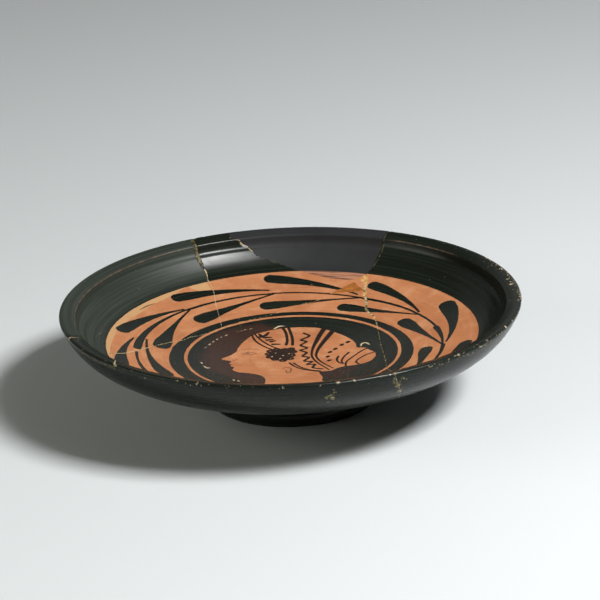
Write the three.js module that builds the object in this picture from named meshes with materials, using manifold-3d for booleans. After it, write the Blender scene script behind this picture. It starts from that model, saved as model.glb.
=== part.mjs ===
// A wheel-thrown terracotta plate on a low ring foot, mended from sherds.
// Two losses are filled with plaster: a stretch of rim and wall at the back, and a small triangle in the floor.
// Millimetres, +Z up. The origin is on the table, at the middle of the foot, and the front is -Y.
import * as THREE from 'three';
import { mergeVertices } from 'three/addons/utils/BufferGeometryUtils.js';
import Module from 'manifold-3d';

// Overall sizes
const rimRadius = 100;
const height = 44.5;
const dishDepth = 27.1; // from the top of the rim down to the middle of the floor

// Inside of the dish, from the rim inwards: each part starts where the one before ends
const rimBandWidth = 6.9; // the band on top of the rim, which slopes down to a ridge
const rimBandDrop = 1.7;
const stepWidth = 2.5; // the hollow step under the ridge
const stepDrop = 5.1;
const stepHollow = 2; // how far the step is scooped out before it comes up to the wall's edge
const wallWidth = 9.9; // the curved wall, down to the edge of the floor
const wallDrop = 8.4;
const wallKnee = 4.3; // how far the floor's slope runs on before the wall turns up

// Thickness of the clay, and the outside
const floorThickness = 6.5;
const wallThickness = 4.4; // in the bend between the floor and the wall
const lipRound = 1.2; // radius of the rim's outer edge
const rimFlare = 23.5; // degrees that the outside leans out from upright at the rim

// Foot
const footRadius = 37; // the widest part of its rounded ring
const footRingHeight = 7;
const footRingBulge = 1.3;
const footContactWidth = 3.5; // the flat that stands on the table
const stemInset = 5.5; // how far the stem above the ring draws in from footRadius
const stemSpread = 2; // how far outside footRadius the stem runs out under the dish
const recessSlopeWidth = 6.5; // the sloping inside of the ring, up to the flat underside

// Losses, going round each of them: degrees from +X, and a share of the loss's reach
const rimLossReach = 24.9; // how far in from the rim's edge it goes
const rimLoss = [
  [107, 0], [106, 0.24], [101.8, 0.31], [99.4, 0.44], [94.2, 0.55], [89.7, 0.68], [86.5, 0.77], [81.4, 0.89],
  [75.9, 0.98], [70.4, 1], [67, 0.96], [64.7, 0.82], [63.2, 0.52], [62.4, 0.36], [62.3, 0],
];
const lossBridge = 1.1; // from there to the loss in the floor, further in
const floorLossReach = 9.6;
const floorLoss = [[72.9, 1], [60.4, 0.56], [67, 0]];
const seamGap = 0.3; // between each filling and the clay
const cutOverrun = 30; // how far the cutting outlines run past the rim

const latheSegments = 72;

// Places that follow from the sizes above, as points of the profile: x is the radius and y is the height
const point = (radius, z) => new THREE.Vector2(radius, z);
const ridge = point(rimRadius - rimBandWidth, height - rimBandDrop);
const wallEdge = point(ridge.x - stepWidth, ridge.y - stepDrop);
const floorEdge = point(wallEdge.x - wallWidth, wallEdge.y - wallDrop);
const floorMiddleZ = height - dishDepth;
const floorRise = floorEdge.y - floorMiddleZ;
const undersideZ = floorMiddleZ - floorThickness;

const floorZ = (radius) => floorMiddleZ + floorRise * (radius / floorEdge.x) ** 2;
const floorSlope = (radius) => (2 * floorRise * radius) / floorEdge.x ** 2;

// The wall from the floor's edge up to the edge under the step
const knee = point(floorEdge.x + wallKnee, floorEdge.y + wallKnee * floorSlope(floorEdge.x));
const wallCurve = new THREE.QuadraticBezierCurve(floorEdge, knee, wallEdge);

// Points along a curve through three controls, without its first point
function bend(from, control, to, steps) {
  return new THREE.QuadraticBezierCurve(from, control, to).getPoints(steps).slice(1);
}

// The inside, from the middle of the floor to the rim's outer edge
function insideProfile() {
  const floorSegments = 8;
  const floor = Array.from({ length: floorSegments + 1 }, (_, i) => {
    const radius = (floorEdge.x * i) / floorSegments;
    return point(radius, floorZ(radius));
  });
  const scoop = point(wallEdge.x + stepHollow, wallEdge.y + (stepWidth - stepHollow));
  const lipTop = point(rimRadius - lipRound, height);
  return [
    ...floor,
    ...wallCurve.getPoints(6).slice(1),
    ...bend(wallEdge, scoop, ridge, 4),
    lipTop,
    ...bend(lipTop, point(rimRadius, height), point(rimRadius, height - lipRound), 3),
  ];
}

// The outside, from under the rim's edge to the foot. It leaves the rim along its flare, runs into the foot
// along the slope of the floor, and half-way it lies one wall thickness away from the bend of the inside.
function outsideProfile() {
  const flare = THREE.MathUtils.degToRad(rimFlare);
  const start = point(rimRadius, height - lipRound);
  const joinRadius = footRadius + stemSpread;
  const end = point(joinRadius, floorZ(joinRadius) - floorThickness);
  const downRim = point(-Math.sin(flare), -Math.cos(flare));
  const upFloor = point(1, floorSlope(joinRadius)).normalize();
  const bendAt = 0.3;
  const along = wallCurve.getTangent(bendAt);
  const middle = wallCurve.getPoint(bendAt).add(point(along.y, -along.x).multiplyScalar(wallThickness));
  const pull = middle.sub(start.clone().add(end).multiplyScalar(0.5)).divideScalar(0.375);
  const determinant = downRim.cross(upFloor);
  const first = start.clone().addScaledVector(downRim, pull.cross(upFloor) / determinant);
  const second = end.clone().addScaledVector(upFloor, downRim.cross(pull) / determinant);
  return new THREE.CubicBezierCurve(start, first, second, end).getPoints(14).slice(1);
}

// The stem, the rounded ring, its flat and the recess inside it, ending on the axis
function footProfile() {
  const joinRadius = footRadius + stemSpread;
  const joinZ = floorZ(joinRadius) - floorThickness;
  const ringRadius = footRadius - footRingBulge;
  const halfRing = footRingHeight / 2;
  const ringSegments = 7;
  const ring = Array.from({ length: ringSegments }, (_, i) => {
    const turn = (Math.PI * (i + 1)) / ringSegments;
    return point(ringRadius + footRingBulge * Math.sin(turn), halfRing + halfRing * Math.cos(turn));
  });
  const contactInner = ringRadius - footContactWidth;
  const recessRadius = contactInner - recessSlopeWidth;
  const neck = point(footRadius - stemInset, joinZ - stemSpread / 2);
  return [
    ...bend(point(joinRadius, joinZ), neck, point(ringRadius, footRingHeight), 6),
    ...ring,
    point(contactInner, 0),
    ...bend(point(contactInner, 0), point(recessRadius, undersideZ), point(recessRadius, undersideZ), 4),
    point(0, undersideZ),
  ];
}

const wasm = await Module();
wasm.setup();

// A closed mesh as a solid that can be cut and joined
function solidFrom(geometry) {
  const bare = geometry.clone();
  bare.deleteAttribute('normal');
  bare.deleteAttribute('uv');
  const merged = mergeVertices(bare, 1e-4);
  const index = merged.index.array;
  const kept = [];
  for (let i = 0; i < index.length; i += 3) {
    const [a, b, c] = index.slice(i, i + 3);
    if (a !== b && b !== c && c !== a) kept.push(a, b, c);
  }
  const vertProperties = new Float32Array(merged.attributes.position.array);
  return new wasm.Manifold(new wasm.Mesh({ numProp: 3, vertProperties, triVerts: new Uint32Array(kept) }));
}

function geometryFrom(solid) {
  const mesh = solid.getMesh();
  const geometry = new THREE.BufferGeometry();
  geometry.setAttribute('position', new THREE.BufferAttribute(new Float32Array(mesh.vertProperties), 3));
  geometry.setIndex(new THREE.BufferAttribute(new Uint32Array(mesh.triVerts), 1));
  geometry.computeVertexNormals();
  return geometry;
}

// The whole plate as it left the kiln, turned about +Z
function wholePlate() {
  const profile = [...insideProfile(), ...outsideProfile(), ...footProfile()].reverse();
  const turned = new THREE.LatheGeometry(profile, latheSegments);
  turned.rotateX(Math.PI / 2);
  return solidFrom(turned);
}

// The corners of a loss seen from above. A share of 0 opens it to the rim's edge if the loss starts there.
function lossCorners(loss, start, reach) {
  return loss.map(([degrees, share]) => {
    const inset = start + reach * share;
    const radius = inset > 0 ? rimRadius - inset : rimRadius + cutOverrun;
    const angle = THREE.MathUtils.degToRad(degrees);
    return point(radius * Math.cos(angle), radius * Math.sin(angle));
  });
}

// The same outline grown by a distance on every side
function grownOutline(corners, grow) {
  const turn = Math.sign(THREE.ShapeUtils.area(corners));
  return corners.map((corner, i) => {
    const before = corners[(i + corners.length - 1) % corners.length];
    const after = corners[(i + 1) % corners.length];
    const along = corner.clone().sub(before).normalize();
    const onward = after.clone().sub(corner).normalize();
    const outward = point(along.y + onward.y, -along.x - onward.x).normalize();
    const miter = outward.dot(point(along.y, -along.x));
    return corner.clone().addScaledVector(outward, (turn * grow) / Math.max(miter, 0.4));
  });
}

// An upright block with that outline, taller than the plate at both ends
function lossBlock(corners, grow) {
  const outline = new THREE.Shape(grownOutline(corners, grow));
  const block = new THREE.ExtrudeGeometry(outline, { depth: height + 2 * cutOverrun, bevelEnabled: false });
  block.translate(0, 0, -cutOverrun);
  return solidFrom(block);
}

const clay = new THREE.MeshStandardMaterial({ color: 0x1e2422, roughness: 0.3, metalness: 0 });
const greyPlaster = new THREE.MeshStandardMaterial({ color: 0x2f2f31, roughness: 0.7, metalness: 0 });
const amberPlaster = new THREE.MeshStandardMaterial({ color: 0xb26a2c, roughness: 0.45, metalness: 0 });

const whole = wholePlate();
const rimCorners = lossCorners(rimLoss, 0, rimLossReach);
const floorCorners = lossCorners(floorLoss, rimLossReach + lossBridge, floorLossReach);
const rimPiece = whole.intersect(lossBlock(rimCorners, 0));
const floorPiece = whole.intersect(lossBlock(floorCorners, 0));
const platePiece = whole.subtract(lossBlock(rimCorners, seamGap)).subtract(lossBlock(floorCorners, seamGap));

const plate = new THREE.Mesh(geometryFrom(platePiece), clay);
plate.name = 'plate';
const rimFilling = new THREE.Mesh(geometryFrom(rimPiece), greyPlaster);
rimFilling.name = 'rim_filling';
const floorFilling = new THREE.Mesh(geometryFrom(floorPiece), amberPlaster);
floorFilling.name = 'floor_filling';

const group = new THREE.Group();
group.add(plate, rimFilling, floorFilling);

export default group;
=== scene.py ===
import math
import bpy
import numpy as np
from mathutils import Matrix, Quaternion, Vector, noise


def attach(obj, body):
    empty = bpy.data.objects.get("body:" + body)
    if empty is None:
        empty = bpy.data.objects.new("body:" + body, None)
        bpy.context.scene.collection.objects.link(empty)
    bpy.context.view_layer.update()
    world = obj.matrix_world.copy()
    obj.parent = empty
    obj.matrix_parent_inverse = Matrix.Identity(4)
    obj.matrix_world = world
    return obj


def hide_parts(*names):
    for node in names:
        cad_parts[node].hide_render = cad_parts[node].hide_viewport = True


# A wheel-thrown plate in black gloss and red-figure, mended from sherds.
# Dictionaries hold millimetres and degrees. Seen from above, x runs right and y runs to the back.
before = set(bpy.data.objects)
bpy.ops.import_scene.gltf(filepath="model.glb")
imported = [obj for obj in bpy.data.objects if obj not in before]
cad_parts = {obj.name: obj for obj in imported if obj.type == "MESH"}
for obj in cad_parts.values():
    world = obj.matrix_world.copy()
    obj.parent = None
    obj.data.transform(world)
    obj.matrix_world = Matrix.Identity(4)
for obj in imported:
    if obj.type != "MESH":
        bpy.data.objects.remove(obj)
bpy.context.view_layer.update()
mm = 0.001
scene = bpy.context.scene

# Fitted to the rim and the painted circles. The focal length is in pixels of the picture.
view = {
    "elevation": 19.99, "roll": -2.47, "target": (4.34, 0.0, 44.6), "distance": 1377.8,
    "focalPixels": 3187.9, "imagePixels": 600, "sensor": 36.0, "farClip": 20000,
}


def makeCamera():
    tilt = math.radians(view["elevation"])
    roll = math.radians(view["roll"])
    forward = Vector((0, math.cos(tilt), -math.sin(tilt)))
    level = Vector((1, 0, 0))
    upright = level.cross(forward)
    right = math.cos(roll) * level + math.sin(roll) * upright
    up = math.cos(roll) * upright - math.sin(roll) * level
    data = bpy.data.cameras.new("camera")
    data.sensor_width = view["sensor"]
    data.lens = view["focalPixels"] * view["sensor"] / view["imagePixels"]
    data.clip_end = view["farClip"] * mm
    camera = bpy.data.objects.new("camera", data)
    scene.collection.objects.link(camera)
    turned = Matrix((right, up, -forward)).transposed().to_4x4()
    place = (Vector(view["target"]) - view["distance"] * forward) * mm
    camera.matrix_world = Matrix.Translation(place) @ turned
    scene.camera = camera


makeCamera()
print("camera placed")


def deselectAll():
    if bpy.context.mode != "OBJECT":
        bpy.ops.object.mode_set(mode="OBJECT")
    bpy.ops.object.select_all(action="DESELECT")


def edit(piece):
    deselectAll()
    piece.select_set(True)
    bpy.context.view_layer.objects.active = piece
    bpy.ops.object.mode_set(mode="EDIT")


def drawLine(name, points):
    # extrudes one vertex from point to point, as a line is drawn by hand
    deselectAll()
    bpy.ops.mesh.primitive_plane_add(size=mm)
    piece = bpy.context.object
    piece.name = name
    bpy.ops.object.mode_set(mode="EDIT")
    bpy.ops.mesh.select_mode(type="VERT")
    bpy.ops.mesh.merge(type="CENTER")
    places = [Vector(point) * mm for point in points]
    bpy.ops.transform.translate(value=places[0])
    for before, after in zip(places[:-1], places[1:]):
        bpy.ops.mesh.extrude_region_move(TRANSFORM_OT_translate={"value": after - before})
    return piece


def bezier(controls, count):
    # points along a curve with any number of controls
    share = np.linspace(0, 1, count)[:, None]
    rows = [np.array([control], float) for control in controls]
    while len(rows) > 1:
        rows = [(1 - share) * a + share * b for a, b in zip(rows[:-1], rows[1:])]
    return rows[0]


def smoothPath(points, perSpan=6):
    # a curve through given points
    path = np.array(points, float)
    padded = np.vstack([2 * path[0] - path[1], path, 2 * path[-1] - path[-2]])
    share = np.linspace(0, 1, perSpan, endpoint=False)[:, None]
    spans = []
    for a, b, c, d in zip(padded[:-3], padded[1:-2], padded[2:-1], padded[3:]):
        second = 2 * a - 5 * b + 4 * c - d
        third = 3 * b - a - 3 * c + d
        spans.append(b + 0.5 * share * (c - a + share * (second + share * third)))
    return np.vstack(spans + [path[-1:]])


# The turned form

form = {
    "rimRadius": 100, "height": 44.5,
    "dishDepth": 27.1,  # from the top of the rim down to the middle of the floor
    "rimBandWidth": 6.9, "rimBandDrop": 1.7,
    "stepWidth": 2.5, "stepDrop": 5.1, "stepHollow": 2,
    "wallWidth": 9.9, "wallDrop": 8.4,
    "innerKnee": 5.4, "wallKnee": 4.3,  # how far the floor's slope runs on under the wall, inside and outside
    "floorThickness": 6.5, "wallThickness": 4.4, "lipRound": 1.2, "rimFlare": 23.5,
    "footRadius": 37, "footRingHeight": 7, "footRingBulge": 1.3, "footContactWidth": 3.5,
    "stemInset": 5.5, "stemSpread": 2, "recessSlopeWidth": 6.5,
    "sampleStep": 0.35,  # along the profile
    "edgeSoftness": 4,  # samples that a sharp turned edge is worn over
    "turns": 200, "ringTurn": 7, "ringRun": 4.5,  # how finely the mesh follows it
    "weld": 0.01,
}
# Points along each curve of the profile, before it is divided evenly
curvePoints = {
    "floor": 60, "wall": 30, "step": 16, "band": 8, "lip": 10,
    "outside": 90, "stem": 16, "ring": 30, "recess": 16,
}

# Places where the parts of the inside meet, as radius and height
ridge = np.array([form["rimRadius"] - form["rimBandWidth"], form["height"] - form["rimBandDrop"]])
wallEdge = ridge - [form["stepWidth"], form["stepDrop"]]
floorEdge = wallEdge - [form["wallWidth"], form["wallDrop"]]
floorMiddle = form["height"] - form["dishDepth"]
floorRise = floorEdge[1] - floorMiddle
underside = floorMiddle - form["floorThickness"]


def floorAt(radius):
    return floorMiddle + floorRise * (radius / floorEdge[0]) ** 2


def floorSlope(radius):
    return 2 * floorRise * radius / floorEdge[0] ** 2


def kneeAt(reach):
    return floorEdge + np.array([1, floorSlope(floorEdge[0])]) * reach


def insideCurves():
    # from the middle of the floor to the rim's outer edge
    rim, top, lip = form["rimRadius"], form["height"], form["lipRound"]
    radii = np.linspace(0, floorEdge[0], curvePoints["floor"])
    scoop = wallEdge + [form["stepHollow"], form["stepWidth"] - form["stepHollow"]]
    return [
        np.stack([radii, floorAt(radii)], axis=1),
        bezier([floorEdge, kneeAt(form["innerKnee"]), wallEdge], curvePoints["wall"]),
        bezier([wallEdge, scoop, ridge], curvePoints["step"]),
        bezier([ridge, [rim - lip, top]], curvePoints["band"]),
        bezier([[rim - lip, top], [rim, top], [rim, top - lip]], curvePoints["lip"]),
    ]


def stemTop():
    radius = form["footRadius"] + form["stemSpread"]
    return np.array([radius, floorAt(radius) - form["floorThickness"]])


def outsideCurve():
    # leaves the rim along its flare, runs one wall thickness off the inside's bend, and meets the stem
    # along the slope of the floor
    start = np.array([form["rimRadius"], form["height"] - form["lipRound"]])
    end = stemTop()
    flare = math.radians(form["rimFlare"])
    downRim = np.array([-math.sin(flare), -math.cos(flare)])
    upFloor = np.array([1, floorSlope(end[0])]) / math.hypot(1, floorSlope(end[0]))
    knee = kneeAt(form["wallKnee"])
    bendAt = 0.3  # share of the way up the wall, which is the fourth of eleven points
    bend = bezier([floorEdge, knee, wallEdge], 11)[3]
    along = 2 * (1 - bendAt) * (knee - floorEdge) + 2 * bendAt * (wallEdge - knee)
    along = along / np.linalg.norm(along)
    middle = bend + np.array([along[1], -along[0]]) * form["wallThickness"]
    # half-way along a cubic, three eighths of each pull on its ends have added up
    pulls = np.linalg.solve(np.stack([downRim, upFloor], axis=1), (middle - (start + end) / 2) / 0.375)
    controls = [start, start + downRim * pulls[0], end + upFloor * pulls[1], end]
    return bezier(controls, curvePoints["outside"])


def footCurves():
    # the stem, the rounded ring, its flat and the recess inside it, ending on the axis
    ringRadius = form["footRadius"] - form["footRingBulge"]
    half = form["footRingHeight"] / 2
    top = stemTop()
    neck = [form["footRadius"] - form["stemInset"], top[1] - form["stemSpread"] / 2]
    turn = np.linspace(0, math.pi, curvePoints["ring"])
    ring = [ringRadius + form["footRingBulge"] * np.sin(turn), half + half * np.cos(turn)]
    contact = ringRadius - form["footContactWidth"]
    recess = contact - form["recessSlopeWidth"]
    return [
        bezier([top, neck, [ringRadius, 2 * half]], curvePoints["stem"]),
        np.stack(ring, axis=1),
        [[contact, 0]],
        bezier([[contact, 0], [recess, underside], [recess, underside]], curvePoints["recess"]),
        [[0, underside]],
    ]


def turnedProfile():
    # from the middle of the dish over the rim to the middle of the underside, in even steps
    rough = np.vstack(insideCurves() + [outsideCurve()] + footCurves())
    run = np.concatenate([[0], np.cumsum(np.linalg.norm(np.diff(rough, axis=0), axis=1))])
    rough = rough[np.concatenate([[True], np.diff(run) > 1e-6])]
    run = np.unique(run.round(9))
    even = np.linspace(0, run[-1], int(run[-1] / form["sampleStep"]))
    profile = np.stack([np.interp(even, run, rough[:, 0]), np.interp(even, run, rough[:, 1])], axis=1)
    for _ in range(form["edgeSoftness"]):
        profile[1:-1] = 0.25 * profile[:-2] + 0.5 * profile[1:-1] + 0.25 * profile[2:]
    profile[:, 1] -= profile[:, 1].min()
    return profile


profile = turnedProfile()
profileTangents = np.gradient(profile, axis=0)
profileTangents /= np.linalg.norm(profileTangents, axis=1)[:, None]
profileNormals = np.stack([-profileTangents[:, 1], profileTangents[:, 0]], axis=1)
rimSample = int(np.argmax(profile[:, 0]))  # samples before this one are inside the dish


def ringPlaces():
    # the samples that become rings of the mesh: close together where the profile turns
    kept = [0]
    turned = 0.0
    for i in range(1, len(profile) - 1):
        turned += math.acos(min(1.0, profileTangents[i - 1] @ profileTangents[i]))
        run = np.linalg.norm(profile[i] - profile[kept[-1]])
        if run > form["ringRun"] or turned > math.radians(form["ringTurn"]):
            kept.append(i)
            turned = 0.0
    return kept + [len(profile) - 1]


def makeTurnedForm():
    piece = drawLine("plateBody", [(profile[i, 0], 0, profile[i, 1]) for i in ringPlaces()])
    bpy.ops.mesh.select_all(action="SELECT")
    bpy.ops.mesh.spin(steps=form["turns"], angle=math.tau, center=(0, 0, 0), axis=(0, 0, 1))
    bpy.ops.mesh.select_all(action="SELECT")
    bpy.ops.mesh.remove_doubles(threshold=form["weld"] * mm)
    bpy.ops.mesh.normals_make_consistent(inside=False)
    deselectAll()
    return piece


# The two losses that are filled with plaster, going round each: degrees from x, and distance in from the rim

losses = {
    "rim": [
        (107, 0), (106, 5.9), (101.8, 7.6), (99.4, 11), (94.2, 13.8), (89.7, 16.9), (86.5, 19.1),
        (81.4, 22.1), (75.9, 24.4), (70.4, 24.9), (67, 23.9), (64.7, 20.5), (63.2, 13), (62.4, 8.9), (62.3, 0),
    ],
    "floor": [(72.9, 35.6), (60.4, 31.4), (67, 26)],
    "overrun": 30,  # how far the cutting blocks run past the rim, the top and the underside
    "stepLength": 1.4, "crumble": 0.32, "seed": 3.0,  # the crumbled edge of a break
    "seam": 0.03,
}


def lossOutline(name):
    corners = []
    for degrees, inset in losses[name]:
        reach = form["rimRadius"] + losses["overrun"] if inset == 0 else form["rimRadius"] - inset
        angle = math.radians(degrees)
        corners.append((reach * math.cos(angle), reach * math.sin(angle)))
    outline = []
    for start, end in zip(corners, corners[1:] + corners[:1]):
        start, end = np.array(start), np.array(end)
        steps = max(1, int(np.linalg.norm(end - start) / losses["stepLength"]))
        if min(np.hypot(*start), np.hypot(*end)) > form["rimRadius"]:
            steps = 1  # past the rim
        side = np.array([start[1] - end[1], end[0] - start[0]]) / np.linalg.norm(end - start)
        for i in range(steps):
            place = start + (end - start) * i / steps
            shake = noise.noise(Vector((place[0], place[1], losses["seed"]))) * losses["crumble"]
            outline.append(place + side * (shake if i else 0))
    return np.array(outline)


def makeLossBlock(name, grow):
    # an upright block with the outline of the loss, to cut with
    outline = lossOutline(name)
    before, after = np.roll(outline, 1, axis=0), np.roll(outline, -1, axis=0)
    along = after - before
    out = np.stack([along[:, 1], -along[:, 0]], axis=1) / np.linalg.norm(along, axis=1)[:, None]
    area = np.sum(outline[:, 0] * after[:, 1] - after[:, 0] * outline[:, 1])
    outline = outline + out * grow * np.sign(area)
    low, high = -losses["overrun"], form["height"] + losses["overrun"]
    block = drawLine(name + "Block", [(x, y, low) for x, y in outline])
    bpy.ops.mesh.select_all(action="SELECT")
    bpy.ops.mesh.edge_face_add()
    bpy.ops.mesh.extrude_region_move(TRANSFORM_OT_translate={"value": (0, 0, (high - low) * mm)})
    bpy.ops.mesh.select_all(action="SELECT")
    bpy.ops.mesh.normals_make_consistent(inside=False)
    deselectAll()
    return block


def cut(piece, block, operation):
    deselectAll()
    piece.select_set(True)
    bpy.context.view_layer.objects.active = piece
    modifier = piece.modifiers.new("cut", "BOOLEAN")
    modifier.operation = operation
    modifier.object = block
    modifier.solver = "EXACT"
    bpy.ops.object.modifier_apply(modifier=modifier.name)
    bpy.data.objects.remove(block)


def copyOf(piece, name):
    twin = piece.copy()
    twin.data = piece.data.copy()
    twin.name = name
    scene.collection.objects.link(twin)
    return twin


plateBody = makeTurnedForm()
rimFilling = copyOf(plateBody, "rimFillingPlaster")
floorFilling = copyOf(plateBody, "floorFillingPlaster")
cut(rimFilling, makeLossBlock("rim", -losses["seam"]), "INTERSECT")
cut(floorFilling, makeLossBlock("floor", -losses["seam"]), "INTERSECT")
cut(plateBody, makeLossBlock("rim", losses["seam"]), "DIFFERENCE")
cut(plateBody, makeLossBlock("floor", losses["seam"]), "DIFFERENCE")
print("turned form and fillings cut", len(plateBody.data.polygons))

# What is painted

# A field says how many millimetres inside a painted shape a point lies. It is negative outside.
farOff = 6.0  # fields stop here
unreached = 1e3  # more than any gap on the plate
tiny = 1e-9  # keeps a stroke of no length from dividing by nothing


def layStroke(field, points, path, halfWidths):
    path = np.asarray(path, float)
    halfWidths = np.atleast_1d(halfWidths)
    widths = np.interp(np.linspace(0, 1, len(path)), np.linspace(0, 1, len(halfWidths)), halfWidths)
    low, high = path.min(0) - farOff, path.max(0) + farOff
    near = np.flatnonzero(np.all((points > low) & (points < high), axis=1))
    if not len(near):
        return
    close, best = points[near], field[near]
    for start, end, first, last in zip(path[:-1], path[1:], widths[:-1], widths[1:]):
        along = end - start
        share = np.clip((close - start) @ along / max(along @ along, tiny), 0, 1)
        gap = np.linalg.norm(close - start - share[:, None] * along, axis=1)
        best = np.maximum(best, first + (last - first) * share - gap)
    field[near] = best


def insideField(points, outline):
    # signed distance to a closed outline
    outline = np.asarray(outline, float)
    gap = np.full(len(points), unreached)
    crossings = np.zeros(len(points), int)
    x, y = points[:, 0], points[:, 1]
    for start, end in zip(outline, np.roll(outline, -1, axis=0)):
        along = end - start
        share = np.clip((points - start) @ along / max(along @ along, tiny), 0, 1)
        gap = np.minimum(gap, np.linalg.norm(points - start - share[:, None] * along, axis=1))
        spans = (start[1] > y) != (end[1] > y)
        if along[1]:
            crossings += spans & (x < start[0] + (y - start[1]) * along[0] / along[1])
    return np.where(crossings % 2, gap, -gap)


def polar(degrees, radius):
    angle = math.radians(degrees)
    return np.array([radius * math.cos(angle), radius * math.sin(angle)])


# Reserved circles, each thrown a little off centre: centre and radius
circles = {
    "bandOuter": ((0.3, 0.0), 80.8),
    "bandInner": ((-0.4, -5.0), 53.0),
    "thinRing": ((0.2, -2.2), 46.45), "thinRingHalf": 0.75,
}

# The wreath grows counterclockwise. Each sprig has the angle and radius of its fork, then its leaves.
# The outer and the inner leaf: how far off the stem each starts, its sweep in degrees, the radius where it
# ends and its half width there. The middle leaf: its start and sweep in degrees, its end and its half width.
sprigs = [
    (-8.3, 65.6, (1.5, 32.5, 76.0, 3.8), (-0.4, 34.8, 55.9, 3.3), (0, 19, 64.4, 1.3)),
    (27.5, 63.8, (1.2, 31.4, 73.4, 2.9), (-0.4, 36.2, 53.8, 3.1), (0, 30, 62.6, 0.7)),
    (60.8, 63.0, (2.2, 35.8, 76.0, 3.1), (-0.5, 40.6, 54.8, 3.2), (0, 36, 64.6, 0.5)),
    (96.8, 64.4, (3.0, 35.4, 75.4, 3.1), (-0.4, 38.6, 56.2, 3.6), (0, 37, 65.3, 0.5)),
    (134.2, 65.8, (1.0, 32.3, 75.9, 3.2), (-0.9, 37.6, 57.4, 3.9), (0, 45.2, 67.2, 1.8)),
    (169.4, 67.2, (2.8, 29.0, 76.6, 3.1), (-2.7, 38.8, 61.0, 3.2), (14.4, 34.4, 68.9, 0.8)),
    (207.4, 68.4, (1.6, 33.0, 77.0, 3.1), (-0.8, 36.0, 62.6, 3.0), (0, 36, 68.9, 0.6)),
    (244.0, 69.0, (1.6, 33.0, 77.0, 3.2), (-0.8, 36.0, 63.0, 3.1), (0, 20, 69.4, 1.2)),
    (280.5, 69.0, (1.6, 33.5, 77.0, 3.1), (-0.8, 36.0, 62.4, 3.0), (0, 36, 68.4, 0.6)),
    (317.0, 68.2, (1.6, 30.0, 76.4, 3.0), (-0.8, 32.0, 58.8, 3.0), (0, 34, 66.4, 0.6)),
]
leafForm = {
    "baseHalf": 0.5, "stemHalf": 0.58, "steps": 18,
    "swell": 1.4, "innerSwell": 1.5, "fullAt": 0.88,  # how late a leaf swells, and where it is full
    "outerStart": 1.5,  # degrees past the fork
    "evenBend": 1.0, "swingBend": 2.0,
    "stemStops": 6,
    "thin": 0.9,  # half width under which the mesh follows both sides of a stroke
}


def leafPath(begin, end, endRadius, startRadius, half, bend, swell):
    # an even bend leaves the stem slowly, a swing bend turns away from it fast and then follows the ring
    share = np.linspace(0, 1, leafForm["steps"])
    radii = endRadius + (startRadius - endRadius) * (1 - share) ** bend
    angles = np.radians(begin + (end - begin) * share)
    fullness = np.minimum(share / leafForm["fullAt"], 1) ** swell
    widths = leafForm["baseHalf"] + (half - leafForm["baseHalf"]) * fullness
    return np.stack([radii * np.cos(angles), radii * np.sin(angles)], axis=1), widths


def wreathStrokes():
    strokes = []
    even, swing, swell = leafForm["evenBend"], leafForm["swingBend"], leafForm["swell"]
    for number, (fork, radius, outer, inner, middle) in enumerate(sprigs):
        offset, sweep, endRadius, half = outer
        begin = fork + leafForm["outerStart"]
        strokes.append(leafPath(begin, fork + sweep, endRadius, radius + offset, half, even, swell))
        offset, sweep, endRadius, half = inner
        innerSwell = swell * leafForm["innerSwell"]
        strokes.append(leafPath(fork, fork + sweep, endRadius, radius + offset, half, swing, innerSwell))
        start, sweep, endRadius, half = middle
        strokes.append(leafPath(fork + start, fork + sweep, endRadius, radius, half, even, swell))
        nextFork, nextRadius = sprigs[(number + 1) % len(sprigs)][:2]
        span = (nextFork - fork) % 360
        if sweep < span:  # a longer middle leaf is the stem itself
            stops = np.linspace(start / span, 1, leafForm["stemStops"])
            stem = smoothPath([polar(fork + span * s, radius + (nextRadius - radius) * s) for s in stops])
            strokes.append((stem, np.full(len(stem), leafForm["stemHalf"])))
    return strokes


def wreathField(points, thinOnly=False):
    field = np.full(len(points), -farOff)
    for path, widths in wreathStrokes():
        if thinOnly:
            thin = widths < leafForm["thin"]
            path, widths = path[thin], widths[thin]
        if len(path) > 1:
            layStroke(field, points, path, widths)
    return field


# The head faces left. Its face is drawn on plain thirds: hairline to brow, brow to nose, nose to chin.

face = {"hairline": 25.5, "chin": -16.5, "front": -25.0, "noseReach": 5.6}


def faceProfile():
    # the outline from the hairline down to the neck, and the heights that the features sit on
    front, reach, hairline, chin = face["front"], face["noseReach"], face["hairline"], face["chin"]
    third = (hairline - chin) / 3
    brow, base = hairline - third, chin + third
    mouth = base - third / 3
    outline = [
        (front + 7.6, hairline + 1.0), (front + 3.4, hairline - 6.5), (front + 1.2, brow + 1.0),
        (front + 0.7, brow - 2.2), (front - 2.0, brow - 7.2), (front - reach, base + 2.4),
        (front - reach + 0.5, base + 1.0), (front - 2.2, base), (front - 1.6, base - 1.4),
        (front - 2.6, mouth + 1.7), (front - 2.3, mouth + 0.7), (front - 1.0, mouth),
        (front - 2.0, mouth - 0.9), (front - 1.7, mouth - 2.1), (front - 0.3, mouth - 3.4),
        (front - 0.9, mouth - 5.4), (front - 0.6, mouth - 7.6), (front + 1.6, chin - 0.2),
        (front + 5.2, chin - 1.1), (front + 9.6, chin - 2.8), (front + 12.4, chin - 6.8),
        (front + 13.2, chin - 13.0), (front + 12.2, chin - 20.0), (front + 9.0, chin - 26.0),
    ]
    return outline, brow, base, mouth


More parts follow.
